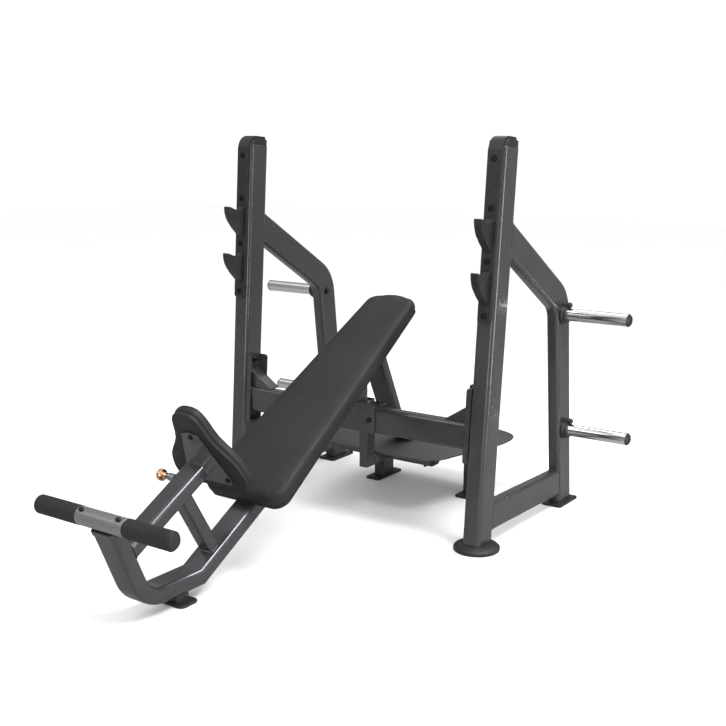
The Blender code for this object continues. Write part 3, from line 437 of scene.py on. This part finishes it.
def loft(mesh, rings, closed=False):
    """Join rings of equal count; the ends are filled unless the rings close on themselves."""
    made = [[mesh.verts.new(point) for point in ring] for ring in rings]
    count = len(made[0])
    following = made[1:] + made[:1] if closed else made[1:]
    for low, high in zip(made, following):
        for k in range(count):
            j = (k + 1) % count
            mesh.faces.new((low[k], low[j], high[j], high[k]))
    if not closed:
        mesh.faces.new(made[0][::-1])
        mesh.faces.new(made[-1])


SCREW_STEPS = 24


def hexagon(centre, side, other, radius):
    """Ring of points on a hexagon with its corners at radius."""
    ring = []
    for t in turns(SCREW_STEPS):
        reach = radius * math.cos(math.pi / 6) / math.cos((t % (math.pi / 3)) - math.pi / 6)
        ring.append(centre + spoke(side, other, t) * reach)
    return ring


def socket_screw(name, seat, axis, radius, height):
    """Cap screw with a hexagon socket, its head standing on seat."""
    side, other = ring_frame(axis)
    head = [
        (0, radius), (height - 0.0009, radius),
        (height - 0.0003, radius - 0.0004), (height, radius - 0.0012),
    ]
    socket = radius * 0.55
    recess = [(height, socket), (height * 0.35, socket), (height * 0.25, socket * 0.5)]
    rings = [circle(seat + axis * along, side, other, r, SCREW_STEPS) for along, r in head]
    rings += [hexagon(seat + axis * along, side, other, r) for along, r in recess]
    mesh = bmesh.new()
    loft(mesh, rings)
    return place(name, mesh, BLACK_BOLT, "frame", "zinc_bolt")


WASHER_THICK = 0.0016
WASHER_ROUND = 0.0004


def hex_bolt(name, seat, axis, size, body="frame"):
    """Chamfered hexagon head on a round washer; size is (across flats, height, washer radius)."""
    across, height, washer = size
    rim = washer - 0.0005
    disc = [
        (0, 0), (0, rim), (WASHER_ROUND, washer), (WASHER_THICK - WASHER_ROUND, washer),
        (WASHER_THICK, rim), (WASHER_THICK, 0),
    ]
    corner = across / math.sqrt(3)
    crown = [
        (0, 1.0), (height - 0.0012, 1.0), (height, 0.86), (height, 0.45), (height - 0.0005, 0.38),
    ]
    base = seat + axis * WASHER_THICK
    side, other = ring_frame(axis)
    mesh = bmesh.new()
    lathe(mesh, disc, seat, axis, 28)
    loft(mesh, [circle(base + axis * along, side, other, corner * share, 6) for along, share in crown])
    return place(name, mesh, BLACK_BOLT, body, "zinc_bolt")


def rounded_rectangle(width, height, radius):
    """Outline round the origin, counter-clockwise, with six steps to each corner."""
    points = []
    for side_a, side_b, start in ((1, 1, 0), (-1, 1, 90), (-1, -1, 180), (1, -1, 270)):
        for step in range(7):
            turn = math.radians(start + 90 * step / 6)
            a = side_a * (width / 2 - radius) + radius * math.cos(turn)
            b = side_b * (height / 2 - radius) + radius * math.sin(turn)
            points.append((a, b))
    return points


def tube_plug(name, size, origin, side, thick, edge):
    """Chamfered block standing out sideways from origin; size is (depth, height, corner radius)."""
    depth, height, radius = size
    mesh = bmesh.new()
    rings = []
    for along, inset in ((0, edge), (edge, 0), (thick - edge, 0), (thick, edge)):
        outline = rounded_rectangle(depth - 2 * inset, height - 2 * inset, radius - inset)
        rings.append([origin + X * side * along + Y * side * a + Z * b for a, b in outline])
    loft(mesh, rings)
    return place(name, mesh, PLASTIC, "frame", "black_plastic")


def resampled(points, spacing):
    """Evenly spaced points round a closed line."""
    ring = points + points[:1]
    lengths = [(b - a).length for a, b in zip(ring, ring[1:])]
    total = sum(lengths)
    count = max(8, round(total / spacing))
    made = []
    index = 0
    passed = 0.0
    for k in range(count):
        target = total * k / count
        while passed + lengths[index] < target:
            passed += lengths[index]
            index += 1
        share = (target - passed) / lengths[index]
        made.append(ring[index].lerp(ring[index + 1], share))
    return made


CORD_SIDES = 8


def cord_rings(points, radius, normal):
    """Rings of a round cord laid along a closed line; radius is a function of the point's number."""
    rings = []
    count = len(points)
    for k, point in enumerate(points):
        ahead = (points[(k + 1) % count] - points[k - 1]).normalized()
        out = (normal - ahead * normal.dot(ahead)).normalized()
        rings.append(circle(point, out, ahead.cross(out), radius(k), CORD_SIDES))
    return rings


# Outlines of the tubes' ends: how near its neighbour a point must lie, how deep the end's own points
# may lie, and how far a run of points may bend and still be straight.
NEAR_SKIN = 0.0006
END_DEPTH = 0.0002
STRAIGHT = 2e-8


def skin_of(data):
    """A mesh's faces, to be searched for the point nearest to another."""
    corners = [tuple(face.vertices) for face in data.polygons]
    return BVHTree.FromPolygons([v.co for v in data.vertices], corners)


def end_loop(node_name, direction, neighbour=None):
    """Outline of a CAD tube's end: what lies furthest along a direction, or what meets a neighbour."""
    points = [v.co.copy() for v in frame["nodes"][node_name].data.vertices]
    side, other = ring_frame(direction)
    if neighbour:
        skin = skin_of(frame["nodes"][neighbour].data)
        middle = sum(p.dot(direction) for p in points) / len(points)
        face = [p for p in points if skin.find_nearest(p)[3] < NEAR_SKIN and p.dot(direction) > middle]
    else:
        furthest = max(p.dot(direction) for p in points)
        face = [p for p in points if p.dot(direction) > furthest - END_DEPTH]
    found = {(round(p.dot(side), 5), round(p.dot(other), 5)): p for p in face}
    return [found[spot] for spot in convex_outline(sorted(found))]


def convex_outline(flat):
    """Convex outline of sorted (a, b) pairs, counter-clockwise, keeping the points on straight runs."""
    halves = []
    for ordered in (flat, flat[::-1]):
        chain = []
        for p in ordered:
            while len(chain) > 1 and turn_of(chain[-2], chain[-1], p) < -STRAIGHT:
                chain.pop()
            chain.append(p)
        halves += chain[:-1]
    return halves


def turn_of(a, b, c):
    return (b[0] - a[0]) * (c[1] - a[1]) - (b[1] - a[1]) * (c[0] - a[0])


# Weld beads where tubes meet, painted over.
WELD_RADIUS = 0.0024
WELD_STEP = 0.0016
RIPPLE_PITCH = 0.0042


def weld(name, node_name, direction, neighbour=None):
    direction = direction.normalized()
    loop = resampled(end_loop(node_name, direction, neighbour), WELD_STEP)
    rng = random.Random(name)
    swell = [rng.uniform(0.94, 1.06) for _ in loop]

    def radius(k):
        ripple = 1.0 + 0.10 * math.sin(2 * math.pi * k * WELD_STEP / RIPPLE_PITCH)
        return WELD_RADIUS * ripple * swell[k]

    mesh = bmesh.new()
    loft(mesh, cord_rings(loop, radius, direction), closed=True)
    place(name, mesh, PAINT, "frame", "frame_paint")


for mark, side in SIDES:
    weld(f"weld_leg_{mark}", f"rear_leg_{mark}", LEG_TOP, f"upright_{mark}")
    weld(f"weld_rail_front_{mark}", f"rail_{mark}", LEAN_FRONT, f"upright_{mark}")
    weld(f"weld_rail_rear_{mark}", f"rail_{mark}", LEG_SIDE, f"rear_leg_{mark}")
    weld(f"weld_cross_{mark}", "cross_member", X * side)
    weld(f"weld_deck_leg_{mark}", f"deck_leg_{mark}", Z)
weld("weld_seat_tube", "seat_tube", -POST_BACK)
weld("weld_strut_low", "seat_strut", -SPINE_OUT)
weld("weld_strut_high", "seat_strut", SEAT_OUT)
weld("weld_pad_strut_low", "pad_strut", -Z)
weld("weld_pad_strut_high", "pad_strut", STRUT_UP, "bench_spine")
weld("weld_base_front", "base_tube", -Y)
weld("weld_base_rear", "base_tube", Y)


# Screws in the recesses of the bar guards.
UPRIGHT_DEPTH = 0.106
UPRIGHT_X = 0.587
GUARD_GAP = 0.0003
GUARD_THICK = 0.012
GUARD_RECESS = 0.007
GUARD_FLOOR = UPRIGHT_DEPTH / 2 + GUARD_GAP + GUARD_THICK - GUARD_RECESS
GUARD_SCREW_Z = (0.890, 1.086, 1.273, 1.446)
SCREW_R = 0.0098
SCREW_H = 0.0062
upright_y = end_face("upright_foot_left", -1).y
for mark, side in SIDES:
    for number, height in enumerate(GUARD_SCREW_Z):
        centre = Vector((side * UPRIGHT_X, upright_y + height * math.tan(LEAN), height))
        seat = centre + LEAN_FRONT * GUARD_FLOOR
        socket_screw(f"guard_screw_{mark}_{number}", seat, LEAN_FRONT, SCREW_R, SCREW_H)


# Through bolts of the storage horns, on the legs' inner faces, and a cap on each horn's tip.
HORN_BOLT = (0.019, 0.008, 0.0155)


def horn_cap(radius):
    """Profile of a cap that grips a horn of the given radius and dishes in at its middle."""
    return [
        (-0.0088, radius - 0.0003), (-0.0086, radius + 0.0010), (-0.0062, radius + 0.0012),
        (0.0010, radius - 0.0052), (0.0018, radius - 0.0066), (0.0018, radius - 0.0080),
        (0.0006, radius - 0.0095), (0.0006, 0), (-0.0096, 0), (-0.0096, radius - 0.0034),
        (-0.0070, radius - 0.0034), (-0.0056, radius - 0.0004),
    ]


for mark, side in SIDES:
    for level in ("upper", "lower"):
        low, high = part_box(f"horn_{mark}_{level}")
        tip = end_face(f"horn_{mark}_{level}", side)
        seat = Vector((end_face(f"rear_leg_{mark}", -side).x, tip.y, tip.z))
        hex_bolt(f"horn_bolt_{mark}_{level}", seat, X * -side, HORN_BOLT)
        mesh = bmesh.new()
        lathe(mesh, horn_cap((high.z - low.z) / 2), tip, X * side, 32)
        place(f"horn_plug_{mark}_{level}", mesh, PLASTIC, "frame", "black_plastic")


# Caps on the ends of the foot rest grips.
GRIP_CAP = [
    (-0.0004, 0), (-0.0004, 0.0245), (0.0006, 0.0250), (0.0016, 0.0242), (0.0024, 0.0215), (0.0026, 0),
]
for mark, side in SIDES:
    mesh = bmesh.new()
    lathe(mesh, GRIP_CAP, end_face(f"grip_{mark}", side), X * side, 40)
    place(f"grip_cap_{mark}", mesh, FOOT, "frame", "black_rubber")


# Bolts that hold the seat's plate to its board, at (across, up from the pad's lowest rim).
SEAT_BOLT = (0.013, 0.005, 0.0105)
SEAT_BOLTS = ((0.0, 0.235), (-0.083, 0.055), (0.083, 0.055))
seat_low = min(v.co.dot(SEAT_DIR) for v in frame["nodes"]["seat_plate"].data.vertices)
seat_rim = min(v.co.dot(SEAT_OUT) for v in frame["nodes"]["seat_pad"].data.vertices)
for number, (across, rise) in enumerate(SEAT_BOLTS):
    seat = X * across + SEAT_OUT * (seat_rim + rise) + SEAT_DIR * seat_low
    hex_bolt(f"seat_bolt_{number}", seat, -SEAT_DIR, SEAT_BOLT, body="seat")


# Bolts through the lid of the centre bracket, and up through the deck from below.
LID_THICK = 0.0060
LID_BOLT = (0.013, 0.006, 0.0105)
LID_BOLT_X = 0.0876
LID_BOLT_Y = 0.3427
DECK_BOLT = (0.013, 0.0075, 0.0090)
DECK_BOLT_X = 0.190
DECK_BOLT_Y = 0.536
lid_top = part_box("cross_member")[1].z + LID_THICK
deck_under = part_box("base_tube")[0].z
for mark, side in SIDES:
    hex_bolt(f"lid_bolt_{mark}", Vector((side * LID_BOLT_X, LID_BOLT_Y, lid_top)), Z, LID_BOLT)
    stud = Vector((side * DECK_BOLT_X, DECK_BOLT_Y, deck_under))
    hex_bolt(f"deck_bolt_{mark}", stud, -Z, DECK_BOLT)


# Plugs in the open ends of the bars under the deck. The front bar's plugs have three ribs each.
PLUG_THICK = 0.0045
PLUG_EDGE = 0.0014
BAR_CORNER = 0.010
bar_low, bar_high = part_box("deck_cross_bar")
bar_size = (bar_high.y - bar_low.y, bar_high.z - bar_low.z, BAR_CORNER)
for mark, side in SIDES:
    tube_plug(f"bar_plug_{mark}", bar_size, end_face("deck_cross_bar", side), side, PLUG_THICK, PLUG_EDGE)

ARM_SETBACK = 0.0997
ARM_DEPTH = 0.060
ARM_CORNER = 0.008
RIB_COUNT = 3
RIB_START = 0.0040
RIB_PITCH = 0.0030
RIB_THICK = 0.0028
RIB_EDGE = 0.0008
RIB_CORNER = 0.006
arm_low, arm_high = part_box("base_tube")
arm_height = arm_high.z - arm_low.z - 0.0004
arm_size = (ARM_DEPTH, arm_height, ARM_CORNER)
for mark, side in SIDES:
    end = end_face("base_tube", side)
    end.y = arm_low.y + ARM_SETBACK + ARM_DEPTH / 2
    tube_plug(f"front_bar_plug_{mark}", arm_size, end, side, PLUG_THICK, PLUG_EDGE)
    for rib in range(RIB_COUNT):
        spot = end + X * side * (RIB_START + RIB_PITCH * rib)
        inset = 0.010 + 0.004 * rib
        rib_size = (ARM_DEPTH - inset, arm_height - inset, RIB_CORNER)
        tube_plug(f"front_bar_rib_{mark}_{rib}", rib_size, spot, side, RIB_THICK, RIB_EDGE)


# Padding.
SHRINK = 0.0004
SWELL = 0.0018
HELD_DEPTH = 0.004
CLOTH_FRAMES = 20


def local_frame(origin, along, out):
    matrix = Matrix((X, along, out)).transposed().to_4x4()
    matrix.translation = origin
    return matrix


def copied(node_name, to_local):
    """A CAD node's mesh with its facets joined, in a pad's own frame."""
    mesh = bmesh.new()
    mesh.from_mesh(frame["nodes"][node_name].data)
    bmesh.ops.remove_doubles(mesh, verts=mesh.verts, dist=FACET_GAP)
    mesh.transform(to_local)
    return mesh


def evaluated_mesh(piece):
    graph = bpy.context.evaluated_depsgraph_get()
    return bpy.data.meshes.new_from_object(piece.evaluated_get(graph))


def eased(piece, rounds):
    """Smooth a piece after its other modifiers, and turn them all into its mesh."""
    ease = piece.modifiers.new("ease", "SMOOTH")
    ease.factor = 0.5
    ease.iterations = rounds
    data = evaluated_mesh(piece)
    piece.modifiers.clear()
    piece.data = data
    return data


def cushion(name, node_name, to_world, body, voxel):
    """Foam pad under stretched vinyl: the CAD pad, slightly shrunk and then blown up as cloth.

    The face on the board stays flat, and no point moves further than SWELL.
    """
    mesh = copied(node_name, to_world.inverted())
    mesh.normal_update()
    for vertex in mesh.verts:
        if vertex.co.z > HELD_DEPTH / 2:
            vertex.co -= vertex.normal * SHRINK
    data = bpy.data.meshes.new(name)
    mesh.to_mesh(data)
    mesh.free()
    piece = bpy.data.objects.new(name, data)
    bpy.context.scene.collection.objects.link(piece)
    remesh = piece.modifiers.new("remesh", "REMESH")
    remesh.mode = "VOXEL"
    remesh.voxel_size = voxel
    data = eased(piece, 3)
    floor_z = min(v.co.z for v in data.vertices)
    rest = [v.co.copy() for v in data.vertices]
    inflate(piece, floor_z)
    data = eased(piece, 4)
    for vertex, start in zip(data.vertices, rest):
        move = vertex.co - start
        if move.length > SWELL:
            vertex.co = start + move.normalized() * SWELL
        vertex.co.z = max(vertex.co.z if start.z > floor_z + HELD_DEPTH else start.z, 0.0)
    data.transform(to_world)
    data.materials.clear()
    data.materials.append(VINYL)
    for face in data.polygons:
        face.use_smooth = True
    finer = piece.modifiers.new("finer", "SUBSURF")
    finer.levels = 1
    finer.render_levels = 1
    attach(piece, body)
    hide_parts(node_name)
    return piece


def inflate(piece, floor_z):
    """Blow a closed mesh up a little as cloth, its lowest face held still."""
    held = piece.vertex_groups.new(name="held")
    low = [v.index for v in piece.data.vertices if v.co.z < floor_z + HELD_DEPTH]
    held.add(low, 1.0, "REPLACE")
    cloth = piece.modifiers.new("cloth", "CLOTH")
    settings = cloth.settings
    settings.vertex_group_mass = "held"
    settings.quality = 5
    settings.mass = 0.4
    settings.tension_stiffness = 22
    settings.compression_stiffness = 22
    settings.shear_stiffness = 8
    settings.bending_stiffness = 12.0
    settings.use_pressure = True
    settings.uniform_pressure_force = 2.0
    settings.effector_weights.gravity = 0.0
    cloth.collision_settings.use_collision = False
    for step in range(1, CLOTH_FRAMES + 1):
        bpy.context.scene.frame_set(step)


# Seams: a welt along the pad's rim, and a row of stitches on each side of it.
OUTLINE_HEIGHT = 0.003
WELT_STEP = 0.004
WELT_RADIUS = 0.0010
THREAD_RADIUS = 0.00045
STITCH_ROWS = (-0.0035, 0.0055)

# A stitch's rings, as (share of its length, height over the vinyl, share of the thread's radius).
STITCH_ARCH = ((0.0, -0.0003, 0.5), (0.25, 0.0002, 1.0), (0.75, 0.0002, 1.0), (1.0, -0.0003, 0.5))


def rim_outline(node_name, to_local):
    """Outline of a CAD pad just above its base, in its own frame, counter-clockwise."""
    mesh = copied(node_name, to_local)
    rim = [v.co.copy() for v in mesh.verts if abs(v.co.z - OUTLINE_HEIGHT) < 0.0004]
    mesh.free()
    middle = sum(rim, Vector()) / len(rim)
    return sorted(rim, key=lambda p: math.atan2(p.y - middle.y, p.x - middle.x))


def seam(name, piece, node_name, to_world, height, taper, inset, body):
    """Welt and stitches; height is the rim's at the pad's lower end, falling by taper along the pad."""
    outline = rim_outline(node_name, to_world.inverted())
    line = resampled([Vector((p.x, p.y, 0)) for p in outline], WELT_STEP)
    count = len(line)
    skin = skin_of(evaluated_mesh(piece))

    def laid(inward, below):
        track = []
        for k, point in enumerate(line):
            ahead = (line[(k + 1) % count] - line[k - 1]).normalized()
            aim = point + Vector((-ahead.y, ahead.x, 0)) * inward
            aim.z = height - taper * point.y - below
            spot, normal, _, _ = skin.find_nearest(to_world @ aim)
            track.append((spot, normal))
        return track

    track = laid(inset, inset)
    mesh = bmesh.new()
    rings = []
    for k, (point, normal) in enumerate(track):
        ahead = (track[(k + 1) % count][0] - track[k - 1][0]).normalized()
        across = ahead.cross(normal).normalized()
        rings.append(circle(point + normal * WELT_RADIUS * 0.1, normal, across, WELT_RADIUS, CORD_SIDES))
    loft(mesh, rings, closed=True)
    place(f"{name}_welt", mesh, VINYL, body, "pad_vinyl")
    mesh = bmesh.new()
    for shift in STITCH_ROWS:
        row = laid(inset + shift, inset - shift * 0.55)
        for (start, normal), (end, _) in zip(row[:-1:2], row[1::2]):
            stitch(mesh, start, end, normal)
    place(f"{name}_stitches", mesh, THREAD, body, "pad_vinyl")


def stitch(mesh, start, end, normal):
    """One thread end to end, bowed up from the vinyl."""
    ahead = end - start
    across = ahead.normalized().cross(normal).normalized()
    rings = []
    for share, lift, thick in STITCH_ARCH:
        middle = start + ahead * share + normal * lift
        rings.append(circle(middle, normal, across, THREAD_RADIUS * thick, 5))
    loft(mesh, rings)


def pad_origin(node_name, along, out):
    """Point on the plane of symmetry at a CAD pad's lowest corner along two directions."""
    points = [v.co for v in frame["nodes"][node_name].data.vertices]
    return along * min(p.dot(along) for p in points) + out * min(p.dot(out) for p in points)


BACK_HEIGHT = 0.049
BACK_TAPER = 0.010 / 1.168
SEAT_HEIGHT = 0.034
back_frame = local_frame(pad_origin("back_pad", PAD_DIR, PAD_OUT), PAD_DIR, PAD_OUT)
seat_frame = local_frame(pad_origin("seat_pad", SEAT_OUT, SEAT_DIR), -SEAT_OUT, SEAT_DIR)
back = cushion("back_cushion", "back_pad", back_frame, "frame", voxel=0.006)
seat = cushion("seat_cushion", "seat_pad", seat_frame, "seat", voxel=0.005)
seam("back_seam", back, "back_pad", back_frame, BACK_HEIGHT, BACK_TAPER, 0.0065, "frame")
seam("seat_seam", seat, "seat_pad", seat_frame, SEAT_HEIGHT, 0.0, 0.0050, "seat")


# Floor, light and camera.
def area_light(name, spot, target, size, power, tint=(1.0, 1.0, 1.0)):
    lamp = bpy.data.lights.new(name, "AREA")
    lamp.shape = "RECTANGLE"
    lamp.size, lamp.size_y = size
    lamp.energy = power
    lamp.color = tint
    light = bpy.data.objects.new(name, lamp)
    light.location = spot
    light.rotation_euler = (Vector(target) - Vector(spot)).to_track_quat("-Z", "Y").to_euler()
    bpy.context.scene.collection.objects.link(light)


def floor():
    mesh = bmesh.new()
    bmesh.ops.create_grid(mesh, x_segments=8, y_segments=8, size=16)
    data = bpy.data.meshes.new("floor")
    mesh.to_mesh(data)
    mesh.free()
    surface = bpy.data.objects.new("floor", data)
    bpy.context.scene.collection.objects.link(surface)
    studio = Finish("studio_floor", (0.88, 0.88, 0.88), 0.55, 0.0, 0.25)
    tone = studio.spread(studio.noise(1.2, 3.0), 0.0, 1.0)
    white = studio.blend(tone, (0.875, 0.875, 0.875), (0.89, 0.89, 0.89))
    # Painted reflection: the floor is white, but in reflections it is coloured dark grey, so shiny
    # surfaces show painted shade where they face it.
    glossy = studio.add("ShaderNodeLightPath").outputs["Is Glossy Ray"]
    studio.link(studio.blend(glossy, white, (0.28, 0.28, 0.28)), "Base Color")
    data.materials.append(studio.material)


def world():
    """White surround to the camera, which lights matt surfaces more than it shows in shiny ones."""
    sky = bpy.data.worlds.new("studio")
    sky.use_nodes = True
    bpy.context.scene.world = sky
    tree = sky.node_tree
    tree.nodes.clear()

    def background(colour, strength):
        node = tree.nodes.new("ShaderNodeBackground")
        node.inputs["Color"].default_value = (*colour, 1)
        node.inputs["Strength"].default_value = strength
        return node.outputs[0]

    def chosen(share, first, second):
        mix = tree.nodes.new("ShaderNodeMixShader")
        for key, socket in enumerate((share, first, second)):
            tree.links.new(socket, mix.inputs[key])
        return mix.outputs[0]

    path = tree.nodes.new("ShaderNodeLightPath")
    matt = background((0.97, 0.98, 1.0), 0.88)
    mirrored = background((0.97, 0.98, 1.0), 0.32)
    lit = chosen(path.outputs["Is Glossy Ray"], matt, mirrored)
    seen = background((1, 1, 1), 1.05)
    out = tree.nodes.new("ShaderNodeOutputWorld")
    tree.links.new(chosen(path.outputs["Is Camera Ray"], lit, seen), out.inputs["Surface"])


CAMERA_AZIMUTH = math.radians(35.188)
CAMERA_ELEVATION = math.radians(14.062)
CAMERA_AT = Vector((2.4954, -3.18338, 1.5304))
SENSOR_MM = 36.0
LENS_MM = 54.340165
SHIFT_UP = 0.0647383


def camera():
    back_dir = Vector((
        math.sin(CAMERA_AZIMUTH) * math.cos(CAMERA_ELEVATION),
        -math.cos(CAMERA_AZIMUTH) * math.cos(CAMERA_ELEVATION),
        math.sin(CAMERA_ELEVATION),
    ))
    right = Vector((math.cos(CAMERA_AZIMUTH), math.sin(CAMERA_AZIMUTH), 0))
    up = back_dir.cross(right)
    lens = bpy.data.cameras.new("camera")
    lens.sensor_width = SENSOR_MM
    lens.lens = LENS_MM
    lens.shift_y = SHIFT_UP
    lens.clip_end = 60
    eye = bpy.data.objects.new("camera", lens)
    turn = Matrix((right, up, back_dir)).transposed().to_4x4()
    eye.matrix_world = Matrix.Translation(CAMERA_AT) @ turn
    bpy.context.scene.collection.objects.link(eye)
    bpy.context.scene.camera = eye


def soft_sun(strength, spread_degrees):
    """Wide sun from above, which keeps the whole floor white."""
    lamp = bpy.data.lights.new("overhead", "SUN")
    lamp.energy = strength
    lamp.angle = math.radians(spread_degrees)
    light = bpy.data.objects.new("overhead", lamp)
    light.rotation_euler = (math.radians(12), math.radians(8), 0)
    bpy.context.scene.collection.objects.link(light)


floor()
world()
soft_sun(1.3, 100)
area_light("key", (-2.6, -3.4, 3.6), (0.0, 0.0, 0.5), (2.4, 1.4), 30)
area_light("side", (2.2, -0.1, 3.6), (0.0, -0.3, 0.5), (1.3, 1.3), 120, (0.97, 0.98, 1.0))
area_light("top", (0.4, 2.4, 3.6), (0.0, 0.0, 0.3), (3.0, 1.0), 40)
area_light("front_strip", (1.2, -4.6, 0.9), (0.2, 0.0, 0.8), (0.35, 1.7), 30)
area_light("right_strip", (3.9, 0.2, 0.9), (0.3, 0.2, 0.8), (0.5, 1.7), 40)
camera()
bpy.context.scene.view_settings.view_transform = "Standard"
